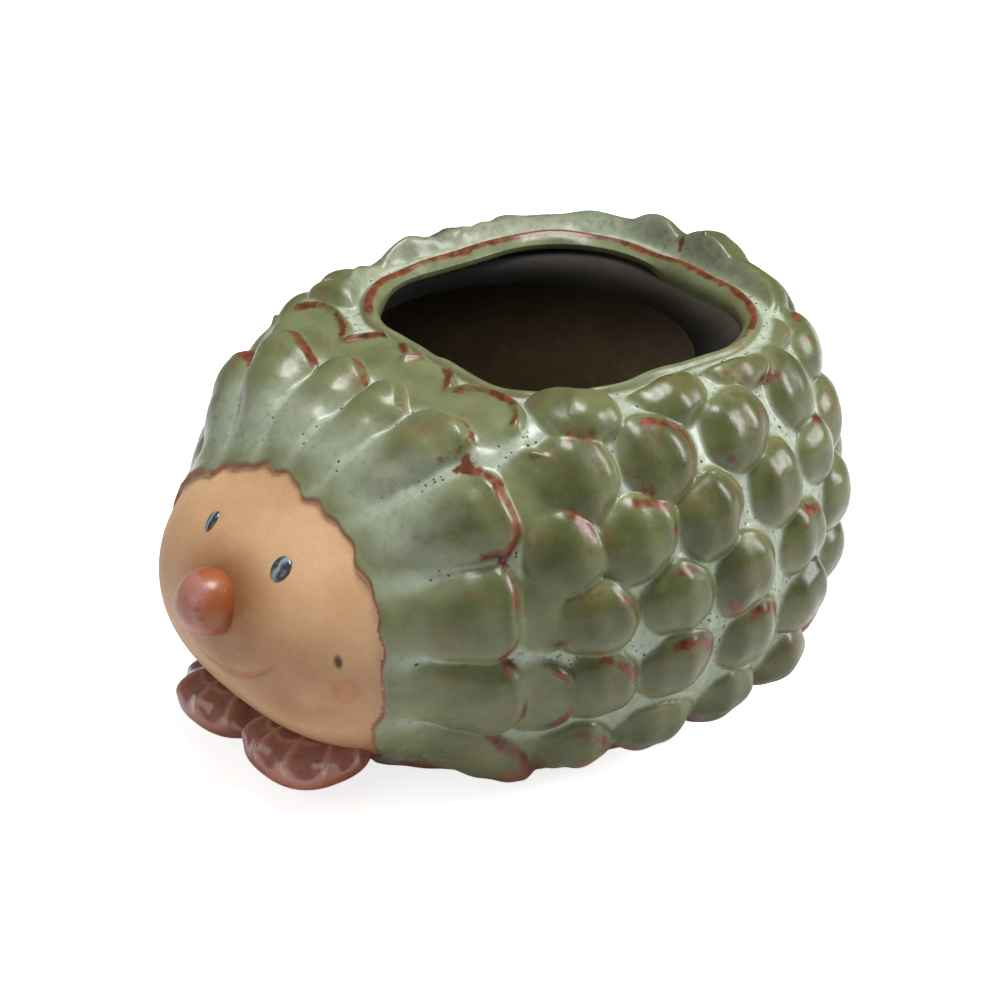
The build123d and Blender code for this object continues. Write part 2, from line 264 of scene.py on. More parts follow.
def outward(grid):
    """Unit normals of a grid of points: the cross product of its row and turn directions."""
    round_way = np.roll(grid, -1, 1) - np.roll(grid, 1, 1)
    up_way = np.gradient(grid, axis=0)
    normal = np.cross(up_way, round_way)
    return normal / np.maximum(np.linalg.norm(normal, axis=-1, keepdims=True), 1e-9)


bare_normal = outward(bare)
mouth_gap = mouth_distance(bare_x, bare_y)
print("bare skin", bare.shape, "z", round(float(bare_z.min()), 2), round(float(bare_z.max()), 2))

# %% [markdown]
# ## Bobbles as heights
#
# The bobbles are balls of clay, pressed on in staggered rows so that each sits in the gap between two
# others. Round balls could be joined to the egg, but the glaze would then stop at each seam. So each
# lump is a height over the bare skin, as a function of how far a point lies from the lump's middle.
# One shared skin carries all the heights at once. The nearest lump of every point is kept, to cut the
# skin into its pieces later.

# %% Places of the bobbles
ROW_HEIGHTS = np.array([1.0, 0.87, 0.715, 0.54, 0.345, 0.135]) * 100.5
# For each bobble of a row, the share of the way from the tail (0) round one side to the face (1).
ROW_TURNS = (
    (0.0, 0.118, 0.237, 0.362, 0.508, 0.655),
    (0.06, 0.178, 0.3, 0.433, 0.56, 0.668),
    (0.0, 0.1, 0.2, 0.298, 0.396, 0.506, 0.602, 0.683),
    (0.05, 0.15, 0.25, 0.357, 0.464, 0.556, 0.65),
    (0.0, 0.112, 0.225, 0.338, 0.445, 0.553, 0.645),
    (0.06, 0.185, 0.312, 0.44, 0.56, 0.668),
)
FLIP = np.array([-1, 1, 1])


def on_egg(turn_share, height):
    """Point and normal on the egg at a turn from the tail towards the face and a height."""
    angle = math.pi * turn_share
    length = rear_length(height) if turn_share < 0.5 else FRONT_LENGTH
    flat = 1 - ((height - AXIS_HEIGHT) / EGG_RADIUS) ** 2
    reach = math.sqrt(flat / ((math.sin(angle) / EGG_RADIUS) ** 2 + (math.cos(angle) / length) ** 2))
    point = np.array([reach * math.sin(angle), WIDEST + reach * math.cos(angle), height])
    normal = np.array([
        point[0] / EGG_RADIUS**2, (point[1] - WIDEST) / length**2, (height - AXIS_HEIGHT) / EGG_RADIUS**2
    ])
    return point, normal / np.linalg.norm(normal)


bobbles = []
for row, (row_height, shares) in enumerate(zip(ROW_HEIGHTS, ROW_TURNS), start=1):
    for turn_share in shares:
        point, normal = on_egg(turn_share, row_height)
        name = f"tail_bobble_{row}" if turn_share == 0.0 else f"bobble_row_{row}_left"
        bobbles.append((name, row, point, normal))
        if turn_share:
            bobbles.append((name.replace("left", "right"), row, point * FLIP, normal * FLIP))
print("bobbles:", len(bobbles))

# %% Lists of lumps
heights, nearness, rust_lines, cell_names = [], [], [], []


def add_lump(name, height, near, rust):
    """Keeps one lump: its height over the skin, how near each point is (1 at its edge), its rust."""
    heights.append(height.astype(np.float32))
    nearness.append(near.astype(np.float32))
    rust_lines.append(rust)
    cell_names.append(name)


# %% The dome of one bobble
BOBBLE_SIZE, BOBBLE_TALL, BOBBLE_DEPTH, BOBBLE_LEAN = 11.0, 5.4, 9.0, 1.3
# The two lowest rows stand out more on the left beside the tail.
TAIL_FROM, TAIL_EXTRA = WIDEST + 25, {5: 1.2, 6: 2.6}


def bobble_dome(row, point, normal):
    """Dome h * (1 - r^2.3)^0.6 that leans up and back, with a thin smeared ridge at its upper back.

    Gives the height, the share r of the way from the middle to the edge, and the angle round it."""
    level_way = np.cross([0, 0, 1.0], normal)
    level_way /= np.linalg.norm(level_way)
    up_way = np.cross(normal, level_way)
    tail_way = -1 if point[0] < 0 else 1
    away = bare - point
    back = tail_way * (away @ level_way)
    up = away @ up_way
    depth = np.maximum(np.abs(away @ normal) - BOBBLE_DEPTH, 0)
    size = BOBBLE_SIZE * (1 + 0.04 * seed.standard_normal())
    tall = BOBBLE_TALL * (1 + 0.06 * seed.standard_normal())
    if point[0] > 0 and point[1] > TAIL_FROM:
        tall += TAIL_EXTRA.get(row, 0)
    phase = seed.uniform(0, 2 * math.pi, 3)
    angle = np.arctan2(up, back)
    outline = waves((0.05, 2, phase[0], angle), (0.035, 3, phase[1], angle), (0.02, 5, phase[2], angle))
    radius = np.hypot(back, up) / (size * (1 + outline)) + depth / 6
    lean = BOBBLE_LEAN * np.clip(1 - radius**2, 0, None)
    leaned = np.hypot(back - lean, up - lean) / (size * (1 + outline)) + depth / 6
    dome = 1.06 * tall * np.clip(1 - leaned**2.3, 0, None) ** 0.6 - 1.5 * np.maximum(leaned - 1, 0)
    upper_back = smooth_step(0.0, 0.75, np.cos(angle - 0.75 + 0.4 * (seed.random() - 0.5)))
    ring = hump((radius - 1.02) * size, 0.0, 1.0) * upper_back
    return dome + (0.9 + 0.7 * seed.random()) * ring, radius, angle


# %% The top row beside the mouth
BALL_RADIUS = 13.5
BALL_HEIGHT = 5.6
past_gutter = smooth_step(5.8, 10.0, mouth_gap + 3.0 * smooth_step(-5, -25, bare_y))


def top_row(lump, point, normal):
    """The dome raised to a true ball beyond the mouth, and flattened where the gutter runs.

    The ball's height is where a line along the skin's normal leaves it, and -1 where it misses."""
    from_centre = bare - (point - normal * (BALL_RADIUS - BALL_HEIGHT))
    out = (from_centre * bare_normal).sum(-1)
    under_root = out**2 - (from_centre**2).sum(-1) + BALL_RADIUS**2
    ball = np.where(under_root > 0, np.sqrt(np.maximum(under_root, 0)) - out + 0.6, -1.0)
    far_side = smooth_step(30.0, -5.0, point[0]) * smooth_step(-50.0, 15.0, point[1])
    lump = soft_max(lump, ball * far_side - (1 - far_side), 1.0)
    return lump * past_gutter - 0.5 * (1 - past_gutter)


# %% All the bobbles, each with rust on its upper back and sometimes a patch low in front
for name, row, point, normal in bobbles:
    lump, radius, angle = bobble_dome(row, point, normal)
    if row == 1:
        lump = top_row(lump, point, normal)
    strength = np.clip(seed.normal(0.75, 0.3), 0.15, 1.0)
    broken = hump(radius, 0.78, 0.15) * smooth_step(0.2, 0.85, np.cos(angle - 0.9))
    low_side = smooth_step(0.8, 0.97, np.cos(angle + 2.3 + seed.normal(0, 0.3)))
    low_patch = hump(radius, 0.72, 0.16) * low_side
    add_lump(name, lump, radius, np.maximum(strength * broken, 0.9 * seed.random() * low_patch))
print("bobbles done:", len(heights))

# %% The wall of clay beyond the mouth, which never is the nearest lump
far_rim = smooth_step(12.0, -14.0, bare_x - 0.5 * (bare_y - MOUTH_CENTRE))
far_rim *= smooth_step(-32.0, -12.0, bare_y)
gutter_wall = 6.4 * smooth_step(5.4, 10.5, mouth_gap) * smooth_step(15.5, 11.5, mouth_gap)
gutter_wall *= far_rim * smooth_step(-40.0, 10.0, bare_y)
wall_or_less = gutter_wall - 2.0 * (gutter_wall < 0.3)
add_lump("body_shell", wall_or_less, np.full(bare.shape[:2], 20.0), np.zeros(bare.shape[:2]))
print("wall:", round(float(gutter_wall.max()), 2), "mm high")

# %% [markdown]
# ## Petals and lobes of the ruff
#
# Behind the face a collar of long petals fans out, and a short lobe closes the gap behind each tip.
# They could be leaf shapes laid on the egg. As heights over the same skin they share its glaze:
# across a petal the height is a rounded arch, and along it the petal widens and rises from the face
# to a blunt tip.

# %% The wavy edge of the face, and the way round the ruff
FACE_PLACE = -68.2
petal_turn = np.degrees(np.arctan2(bare_z - AXIS_HEIGHT, bare_x))
away_from_axis = np.hypot(bare_x, bare_z - AXIS_HEIGHT)
face_angle = np.arctan2(bare_z - 44.0, bare_x)
face_wave = waves(
    (0.3, 11, 0.4, face_angle), (0.35, 19, 1.9, face_angle), (0.3, 31, 0.3, face_angle),
    (0.4, 5, 2.2, face_angle),
)
face_edge = FACE_PLACE + 2.8 * smooth_step(62.0, 80.0, bare_z) + 0.65 * np.maximum(24.0 - bare_z, 0)
face_edge -= 3.2 * smooth_step(-4.0, -24.0, bare_x)
behind_face = bare_y - face_edge + face_wave
print("face edge from y", round(float(face_edge.min()), 1), "to", round(float(face_edge.max()), 1))

# %% The shape of a petal, and of the lobe behind its tip
PETAL_COUNT = 12
PETAL_STEP = 23.5
PETAL_RUN = 33.0
# From the crown down: how wide each petal is, and how full its arch.
PETAL_SHARES = (0.70, 0.76, 0.9, 0.98, 1.0, 1.0)
PETAL_POWERS = (1.9, 1.9, 2.1, 2.5, 2.7, 2.7)
LOBE_PLACE, LOBE_LONG, LOBE_WIDE = 34.0, 9.5, 12.4
FAR_AWAY = 9.0


def add_petal(label, place, angle, arc, here):
    """Arch h * (1 - across^p)^0.75 that widens along the run from the face to a blunt tip."""
    run = np.clip(behind_face / (PETAL_RUN * (1.0 + 0.04 * seed.standard_normal())), 0, 1.6)
    wide = PETAL_SHARES[place] * (7.2 + 7.4 * np.clip(run, 0, 1) ** 0.8)
    half_width = wide * (1 + 0.03 * seed.standard_normal())
    across = np.abs(arc) / half_width
    tip = run + 0.14 * np.minimum(across, 1.5) ** 2
    tall = (0.9 + 4.9 * smooth_step(0.0, 0.75, run)) * (1 + 0.05 * seed.standard_normal())
    arch = np.clip(1 - across ** PETAL_POWERS[place], 0, None) ** 0.75 * (1 - smooth_step(0.84, 1.02, tip))
    petal = tall * arch - 1.5 * np.maximum(np.maximum(across, tip) - 1, 0)
    petal = np.where(behind_face < -1.5, -1.0, petal)
    low_side = smooth_step(0.1, 0.9, -arc / half_width * np.sign(math.cos(math.radians(angle))))
    side_rust = hump(across, 0.8, 0.13) * low_side * smooth_step(0.45, 0.7, run) * seed.random()
    tip_rust = hump(tip, 0.90, 0.065) * (0.75 + 0.35 * seed.random())
    near = np.where(here, np.maximum(across, tip), FAR_AWAY)
    add_lump("ruff_petal_" + label, petal, near, np.where(here, np.maximum(side_rust, tip_rust), 0))


def add_lobe(label, arc, here):
    """Low dome h * (1 - r^3.4)^0.6 over an oval, with a raised crescent along its back edge."""
    along = (behind_face - LOBE_PLACE) / LOBE_LONG
    radius = np.hypot(arc / LOBE_WIDE, along)
    lobe = 2.5 * np.clip(1 - radius**3.4, 0, None) ** 0.6 - 1.5 * np.maximum(radius - 1, 0)
    behind_tip = smooth_step(-0.1, 0.4, along)
    crescent = 1.7 * hump(radius, 0.84, 0.12) * behind_tip
    rust = hump(radius, 0.76, 0.13) * behind_tip * (0.8 + 0.3 * seed.random())
    add_lump("ruff_lobe_" + label, lobe + crescent, np.where(here, radius, FAR_AWAY), np.where(here, rust, 0))


# %% All the petals and lobes
for number in range(PETAL_COUNT):
    side_name = "left" if number % 2 == 0 else "right"
    place = number // 2
    angle = 90 - PETAL_STEP * (place + 0.5)
    if side_name == "right":
        angle = 180 - angle
    label = f"{side_name}_{place + 1}"
    off = (petal_turn - angle + 180) % 360 - 180
    arc = np.radians(off) * away_from_axis
    here = np.abs(off) < 90
    add_petal(label, place, angle, arc, here)
    add_lobe(label, arc, here)
heights, nearness, rust_lines = np.stack(heights), np.stack(nearness), np.stack(rust_lines)
print("lumps:", len(heights))

# %% [markdown]
# ## One glazed skin
#
# The heights are joined by a soft maximum, the logarithm of a sum of exponentials. It rounds every
# crease, which is what a thick glaze does when it pools in a groove. The face keeps no glaze, so its
# height is nothing, and the glaze ends there in a low wavy step.

# %% Join the heights
FLOOR_COAT = 0.5
POOL = 0.42
top = heights.max(0)
rust_line = np.take_along_axis(rust_lines, heights.argmax(0)[None], 0)[0]
joined = top + POOL * np.log(np.exp((heights - top) / POOL).sum(0) + np.exp((FLOOR_COAT - top) / POOL))
on_ruff = smooth_step(-0.35, 0.45, behind_face)
off_ground = smooth_step(0.0, 7.0, bare_z)
coat = joined * on_ruff * (0.12 + 0.88 * off_ground)
print("coat from", round(float(coat.min()), 2), "to", round(float(coat.max()), 2), "mm")

# %% Changes: the uneven crest beyond the mouth, and the lip of glaze at the face
CREST_TURNS = (0, 235, 250, 265, 275, 287, 295, 303, 310, 317, 325, 333, 340, 350, 360)
CREST_CHANGES = (0, 0, -1.6, -4.0, -3.4, -1.4, -2.4, 0.8, 2.2, 3.0, 1.8, 0.2, -0.6, 0, 0)
SCALLOP_HEIGHT, SCALLOP_COUNT, SCALLOPS_FROM = 0.45, 20, 4.0
scallops = SCALLOP_HEIGHT * np.cos(SCALLOP_COUNT * turn) * (turn > SCALLOPS_FROM)
crest_change = np.interp(turn_degrees, CREST_TURNS, CREST_CHANGES) + scallops
coat += crest_change * smooth_step(6.5, 10.5, mouth_gap) * smooth_step(26.0, 13.0, mouth_gap)
coat += on_ruff * 0.6 * smooth_step(9.0, 0.5, behind_face) * off_ground
wobble = waves((0.25, 3, 0.5, face_angle), (0.2, 7, 1.1, petal_turn / 57.3 + bare_y / 9))
print("crest changed by", min(CREST_CHANGES), "to", max(CREST_CHANGES), "mm")

# %% [markdown]
# ## Marks on the face
#
# The bare face has a thin pressed smile, a small dark chip and a round blush on its left cheek. They
# could be painted only, but a pressed line also catches the light. So each is a value from 0 to 1 on
# the skin: the smile and the chip also push the clay in, and all three colour it.

# %% Smile, chip and blush
SMILE_HEIGHT, SMILE_BEND, SMILE_WIDTH = 33.5, 0.0185, 0.8
CHIP_PLACE = (38.4, -77.6, 48.7)
BLUSH_PLACE = (39.4, -76.4, 40.6)
on_front = smooth_step(-72.0, -80.0, bare_y)
smile_gap = bare_z - (SMILE_HEIGHT + SMILE_BEND * bare_x**2)
smile = hump(smile_gap, 0.0, SMILE_WIDTH) * smooth_step(27.0, 21.0, bare_x) * smooth_step(-9.0, -3.0, bare_x)
smile *= on_front
muzzle_swell = smooth_step(0.0, 3.0, smile_gap) * smooth_step(25.0, 12.0, np.hypot(bare_x, bare_z - 50.0))
chip_x, chip_y, chip_z = CHIP_PLACE
chip_along = bare_z - chip_z + 0.5 * (bare_y - chip_y)
chip_gap = np.hypot(np.hypot(bare_x - chip_x, bare_y - chip_y) / 0.9, chip_along / 1.9)
chip = smooth_step(1.3, 0.6, chip_gap)
blush_gap = np.linalg.norm(bare - np.array(BLUSH_PLACE), axis=-1)
blush = smooth_step(4.2, 3.2, blush_gap) * (0.6 + 0.4 * smooth_step(1.6, 3.0, blush_gap))
face_relief = 0.7 * muzzle_swell * on_front - 0.6 * smile - 0.7 * chip
print("face relief from", round(float(face_relief.min()), 2), "to", round(float(face_relief.max()), 2), "mm")

# %% The skin, and its underside
SKIN_THICKNESS = 0.3
skin = bare + bare_normal * (coat + wobble * on_ruff * off_ground + face_relief)[..., None]
skin_under = bare - bare_normal * SKIN_THICKNESS
for layer in (skin, skin_under):
    layer[..., 2] = np.maximum(layer[..., 2], 0.0)
print("skin z", round(float(skin[..., 2].max()), 2))

# %% [markdown]
# ## The rim
#
# Round the mouth the potter left a rolled lip with a crisp ridge, and a shallow gutter outside it.
# Its section is a list of points, each an offset outwards from the mouth and a height. The section is
# carried round the mouth on the same turns as the skin, so the two join without a seam.

# %% Rim section
RIM_FOOT = 98.6
rim_section = np.array([
    (4.8, 99.15), (4.5, 99.6), (4.2, 100.0), (3.9, 100.35), (3.55, 100.6), (3.2, 100.68), (2.85, 100.6),
    (2.5, 100.4), (2.0, 100.0), (1.5, 99.6), (1.0, 99.2), (0.6, 98.7), (0.3, 98.2), (0.1, 97.5),
    (0.0, 96.8), (0.0, 96.0), (0.05, 95.0), (0.1, 94.0), (0.3, 93.2), (1.0, 92.9), (2.5, 92.8), (5.0, 92.8),
    (8.5, 92.8),
])
rim_outer = ring_round_mouth(5.2)
front_share = smooth_step(-2.0, -16.0, rim_outer[:, 1])
far_turns = smooth_step(225.0, 260.0, turn_degrees) * smooth_step(362.0, 345.0, turn_degrees)
far_turns *= smooth_step(0, 1, far_turns)
ridge_wave = waves((0.35, 5, 0.2, turn), (0.25, 9, 1.4, turn), (0.15, 17, 2.0, turn))
lip_wave = 0.25 * waves((1.0, 3, 0.7, turn), (0.6, 8, 2.1, turn))
rim_rows = []
for offset, height in rim_section:
    rise = height - RIM_FOOT
    if rise > 0:
        # The lip is lower at the front.
        rise = rise * (1 - 0.35 * front_share)
    plan = ring_round_mouth(offset + lip_wave)
    z = RIM_FOOT + rise + ridge_wave * smooth_step(97.5, 100.0, height)
    # Beyond the mouth the lip is thinner, as its underside comes up.
    z += far_turns * (3.6 * smooth_step(99.6, 93.5, height) - 0.2)
    rim_rows.append(np.column_stack([plan, z]))
rim = np.stack(rim_rows)
surface = np.concatenate([skin, rim])
print("rim rows:", len(rim))

# %% [markdown]
# ## Cut the skin into its pieces
#
# A square of the grid belongs to the lump that it lies nearest to. Every piece gets its squares, the
# same squares again just under the clay's surface, and walls between the two, so it is a closed
# tile. The shading normals come from the whole skin, so neighbouring tiles shade as one glaze coat.

# %% Which piece each square belongs to
RIM_THICKNESS = 1.2
names = sorted(set(cell_names) - {"body_shell"}) + ["face", "rim_collar", "body_shell"]
piece_of_lump = np.array([names.index(name) for name in cell_names])
owner = piece_of_lump[nearness.argmin(0)]
owner[(behind_face < 0) & (bare_y < 0)] = names.index("face")
owner = np.concatenate([owner[:-1], np.full((len(rim), TURNS), names.index("rim_collar"))]).reshape(-1)
normals = outward(surface)
under = np.concatenate([skin_under, rim - normals[SKIN_ROWS:] * RIM_THICKNESS])
corner = np.arange(len(surface) * TURNS).reshape(-1, TURNS)
squares = np.stack([
    corner[:-1], corner[1:], np.roll(corner[1:], -1, 1), np.roll(corner[:-1], -1, 1)
], -1).reshape(-1, 4)
print("squares:", len(squares), "pieces:", len(names))

# %% [markdown]
# ## What the glaze needs to know
#
# A glaze changes colour with its thickness: it breaks to rust on a crest and turns milky in a groove.
# A picture could be painted on, but the shape already says where the crests and grooves are. So every
# point of the mesh keeps a few values, mostly from 0 to 1, and the material reads them.

# %% How sharply the surface bends
round_step = np.roll(surface, -1, 1) - surface
up_step = np.diff(surface, axis=0)


def bend(step_a, step_b):
    """How sharply the surface turns away between two steps: above 0 on a crest, below 0 in a groove."""
    size = (np.linalg.norm(step_a, axis=-1) + np.linalg.norm(step_b, axis=-1)) / 2
    return -((step_b - step_a) * normals).sum(-1) / np.maximum(size, 0.12) ** 2


bend_round = bend(np.roll(round_step, 1, 1), round_step)
padded_step = np.concatenate([up_step[:1], up_step, up_step[-1:]])
bend_up = bend(padded_step[:-1], padded_step[1:])
crest = blur(np.clip(bend_round, -2, 2) + np.clip(bend_up, -2, 2), 3)
print("bend from", round(float(crest.min()), 2), "to", round(float(crest.max()), 2))


# %% Rust on crests and on the rim's ridge, and two burnt streaks beside the rim
def burnt_streak(place, reach, gap, width):
    """Patch round one turn angle, in degrees, and one distance from the mouth."""
    return hump(turn_degrees, place, reach) * hump(mouth_gap, gap, width)


skin_edge = np.maximum(0.55 * smooth_step(0.3, 0.8, crest[:SKIN_ROWS]), rust_line * on_ruff)
skin_edge *= smooth_step(4.8, 6.5, mouth_gap)
skin_edge = np.maximum(skin_edge, burnt_streak(84.0, 12.0, 8.6, 2.3) + burnt_streak(57.0, 7.0, 12.5, 1.6))
ridge_line = 1.5 * hump(rim_section[:, 0], 2.9, 1.15) * (rim_section[:, 1] > RIM_FOOT)
ridge_share = 0.12 + 0.88 * smooth_step(200.0, 245.0, turn_degrees)
ridge_share = ridge_share + 0.8 * smooth_step(62.0, 40.0, turn_degrees)
rim_edge = np.minimum(ridge_line[:, None] * np.minimum(ridge_share, 1.0), 1.1)
print("rust on", round(float((skin_edge > 0.5).mean()) * 100, 1), "% of the skin")

# %% Milky pools, a paler ruff, and painted light on the top
pool = np.maximum(smooth_step(1.75, 0.7, coat), 0.5 * far_rim * smooth_step(11.0, 8.0, mouth_gap))
brow_pool = smooth_step(1.0, 6.0, behind_face) * smooth_step(25.0, 12.0, behind_face)
brow_pool *= smooth_step(64.0, 78.0, bare_z)
pool = np.maximum(pool, 0.6 * brow_pool * smooth_step(5.5, 2.0, coat))
pool *= 0.7 + 0.3 * smooth_step(15.0, 60.0, bare_z)
pale_and_top_light = 0.06 + 0.34 * smooth_step(36.0, 22.0, behind_face) * smooth_step(1.0, 4.0, np.abs(behind_face) + 3)
# Painted light: the top of the body, under the lamp above, is made paler, so the flanks look darker beside it.
pale_and_top_light += 0.25 * smooth_step(75.0, 95.0, bare_z) * smooth_step(20.0, -20.0, bare_y)
print("pools on", round(float((pool > 0.5).mean()) * 100, 1), "% of the skin")

# %% Darker brown round the nose and low on the left cheek, and painted shade along the bottom of the face
brown_and_low_shade = 0.95 * smooth_step(24.0, 10.0, np.hypot(bare_x - 4.0, (bare_z - 49.0) * 1.1)) * on_front
low_gap = np.hypot(bare_x - 26.0, (bare_z - 40.0) * 1.8)
brown_and_low_shade = np.maximum(brown_and_low_shade, 0.7 * smooth_step(32.0, 10.0, low_gap))
# Painted shade: the lower face is made darker, as under light from above.
brown_and_low_shade = np.maximum(brown_and_low_shade, 0.55 * smooth_step(34.0, 16.0, bare_z))
print("stain up to", round(float(brown_and_low_shade.max()), 2))


# %% All the values, for the skin and the rim together
def with_rim(skin_values, rim_value):
    """Values of the skin's points, and one value for every point of the rim."""
    return np.concatenate([skin_values, np.full(rim.shape[:2], rim_value)])


glaze_facts = {
    "edge": np.concatenate([skin_edge, rim_edge]),
    "pale_and_top_light": with_rim(pale_and_top_light, 0.25),
    "pool": with_rim(pool * on_ruff, 0.08),
    "rise": np.clip(with_rim(coat / 6.0, 0.5), 0, 1),
    "behind_face": with_rim(behind_face, 60.0),
    "ground": np.clip(surface[..., 2] / 20.0, 0, 1),
}
face_facts = {
    "behind_face": glaze_facts["behind_face"],
    "brown_and_low_shade": with_rim(brown_and_low_shade, 0.0),
    "line": with_rim(np.maximum(0.8 * smile, 0.55 * blush), 0.0),
    "chip": with_rim(chip, 0.0),
}
print("values at each point:", ", ".join(sorted({**glaze_facts, **face_facts})))


# %% Mesh makers
def finish_piece(name, mesh, node, point_facts, loop_normals=None):
    """Smooth shading and the values at the points, then the object, which rides on the one body."""
    mesh.polygons.foreach_set("use_smooth", np.ones(len(mesh.polygons), bool))
    for fact_name, values in point_facts.items():
        layer = mesh.attributes.new(fact_name, "FLOAT", "POINT")
        layer.data.foreach_set("value", values.astype(np.float32).ravel())
    if loop_normals is not None and len(mesh.loops) == len(loop_normals):
        mesh.normals_split_custom_set(loop_normals)
    piece = bpy.data.objects.new(name, mesh)
    bpy.context.scene.collection.objects.link(piece)
    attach(piece, "root")
    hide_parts(node)
    return piece


def make_piece(name, points, faces, node, point_facts, loop_normals=None):
    """Piece in metres from arrays in millimetres: points by rows of three, faces by rows of four."""
    mesh = bpy.data.meshes.new(name)
    mesh.vertices.add(len(points))
    mesh.vertices.foreach_set("co", (points * MM).astype(np.float32).ravel())
    mesh.loops.add(faces.size)
    mesh.loops.foreach_set("vertex_index", faces.astype(np.int32).ravel())
    mesh.polygons.add(len(faces))
    mesh.polygons.foreach_set("loop_start", np.arange(0, faces.size, 4, dtype=np.int32))
    mesh.update(calc_edges=True)
    mesh.validate()
    return finish_piece(name, mesh, node, point_facts, loop_normals)


# %% Tiles of the skin
def make_tile(name, tile_facts):
    """Closed tile from one piece's squares: the skin, the same squares underneath, and side walls.

    An edge that only one square uses lies on the tile's border, and gets a wall."""
    own = squares[owner == names.index(name)]
    used, local = np.unique(own, return_inverse=True)
    local = local.reshape(-1, 4)
    count = len(used)
    sides = np.stack([local, np.roll(local, -1, 1)], -1).reshape(-1, 2)
    key = sides.min(1).astype(np.int64) * count + sides.max(1)
    _, first, times_used = np.unique(key, return_index=True, return_counts=True)
    border = sides[first[times_used == 1]]
    walls = np.stack([border[:, 1], border[:, 0], border[:, 0] + count, border[:, 1] + count], 1)
    faces = np.concatenate([local, local[:, ::-1] + count, walls])
    points = np.concatenate([surface.reshape(-1, 3)[used], under.reshape(-1, 3)[used]])
    own_normals = normals.reshape(-1, 3)[used]
    wall_way = np.cross(points[walls[:, 1]] - points[walls[:, 0]], points[walls[:, 3]] - points[walls[:, 0]])
    wall_way /= np.maximum(np.linalg.norm(wall_way, axis=1, keepdims=True), 1e-9)
    loop_normals = np.concatenate([
        own_normals[local.ravel()], -own_normals[local[:, ::-1].ravel()], np.repeat(wall_way, 4, 0)
    ])
    own_facts = {key: np.tile(values.reshape(-1)[used], 2) for key, values in tile_facts.items()}
    return make_piece(name + "_glazed", points, faces, name, own_facts, loop_normals)


tiles = {}
for name in names[:-1]:
    tiles[name] = make_tile(name, face_facts if name == "face" else glaze_facts)
print("tiles:", len(tiles), "most faces:", max(len(tile.data.polygons) for tile in tiles.values()))

# %% [markdown]
# ## The bowl inside
#
# The hollow of the body is seen through the mouth. It could be a smaller egg cut out of the first.
# Here its section runs up just under the glazed skin, over the seat of the rim, down the inside wall,
# across the floor, through the drain hole and back under the foot, so one closed surface is the bowl.

# %% The hollow
BOWL_WALL = 7.0
FLOOR_HEIGHT, FLOOR_ROUND = 8.0, 10.0
SEAT_HEIGHT = 93.0
SHELL_RADIUS, SHELL_REAR, SHELL_FRONT = 72.0, 82.0, 97.0


def hollow_level(points):
    """Below zero in the hollow: the egg made smaller by the wall, above the floor, under the roof."""
    x, y, z = points[..., 0], points[..., 1], points[..., 2]
    length = np.where(y > WIDEST, SHELL_REAR, SHELL_FRONT) - BOWL_WALL
    radius = SHELL_RADIUS - BOWL_WALL
    level = np.sqrt((x**2 + (z - AXIS_HEIGHT) ** 2) / radius**2 + ((y - WIDEST) / length) ** 2) - 1
    level = soft_max(level * radius, FLOOR_HEIGHT - z, FLOOR_ROUND)
    level = np.maximum(level, brow_level(x, y, z) + BOWL_WALL)
    return np.maximum(level, z - np.minimum(roof(y) - BOWL_WALL, SEAT_HEIGHT))


# %% The bowl's closed section
DRAIN_RADIUS = 6.0
BOWL_TURN_STEP, BOWL_ROW_STEP, BEHIND_SKIN = 4, 8, 0.7
outer_rows = (bare - bare_normal * BEHIND_SKIN)[::BOWL_ROW_STEP, ::BOWL_TURN_STEP]
outer_rows[..., 2] = np.maximum(outer_rows[..., 2], 0.0)
bowl_turn = turn[::BOWL_TURN_STEP]
inner_lift = np.radians(np.concatenate([np.linspace(47, 20, 30), np.linspace(18, -62, 40)]))[:, None]
inner_rows = cast(RAY_START, ways_out(inner_lift, bowl_turn), hollow_level)
drain_x, drain_y = DRAIN_RADIUS * np.sin(bowl_turn), WIDEST + DRAIN_RADIUS * np.cos(bowl_turn)
drain_ring = np.column_stack([drain_x, drain_y, np.full(len(bowl_turn), FLOOR_HEIGHT)])
shares = np.linspace(0, 1, 9)[1:, None, None]
floor_rows = inner_rows[-1] * (1 - shares) + drain_ring * shares
drain_rows = np.stack([drain_ring * [1, 1, part] for part in (0.9, 0.6, 0.3, 0.0)])
foot_rows = drain_rows[-1] * (1 - shares[:-1]) + outer_rows[0] * [1, 1, 0] * shares[:-1]
bowl_points = np.concatenate([outer_rows, inner_rows, floor_rows, drain_rows, foot_rows])
bowl_corner = np.arange(bowl_points[..., 0].size).reshape(bowl_points.shape[:2])
next_row = np.roll(bowl_corner, -1, 0)
bowl_faces = np.stack([
    bowl_corner, next_row, np.roll(next_row, -1, 1), np.roll(bowl_corner, -1, 1)
], -1).reshape(-1, 4)
bowl = make_piece("bowl_inside", bowl_points.reshape(-1, 3), bowl_faces, "body_shell", {})
print("bowl points:", bowl_corner.size)

# %% [markdown]
# ## Small balls of clay: nose, eyes and paws
#
# Each is a closed shape seen from its own middle, so the same casting of lines finds its skin. A
# sphere of directions with one point at each pole gives the grid. A ready-made sphere would be
# quicker, but a formula lets the fingers leave their dents.

# %% Closed lumps
def sphere_faces(rows, columns):
    """Squares of a sphere grid, with the poles as fans of squares that share the pole's point."""
    ring = 1 + np.arange((rows - 1) * columns).reshape(rows - 1, columns)
    last = 1 + (rows - 1) * columns
    lower = np.concatenate([np.zeros((1, columns), int), ring])
    upper = np.concatenate([ring, np.full((1, columns), last)])
    return np.stack([lower, upper, np.roll(upper, -1, 1), np.roll(lower, -1, 1)], -1).reshape(-1, 4)


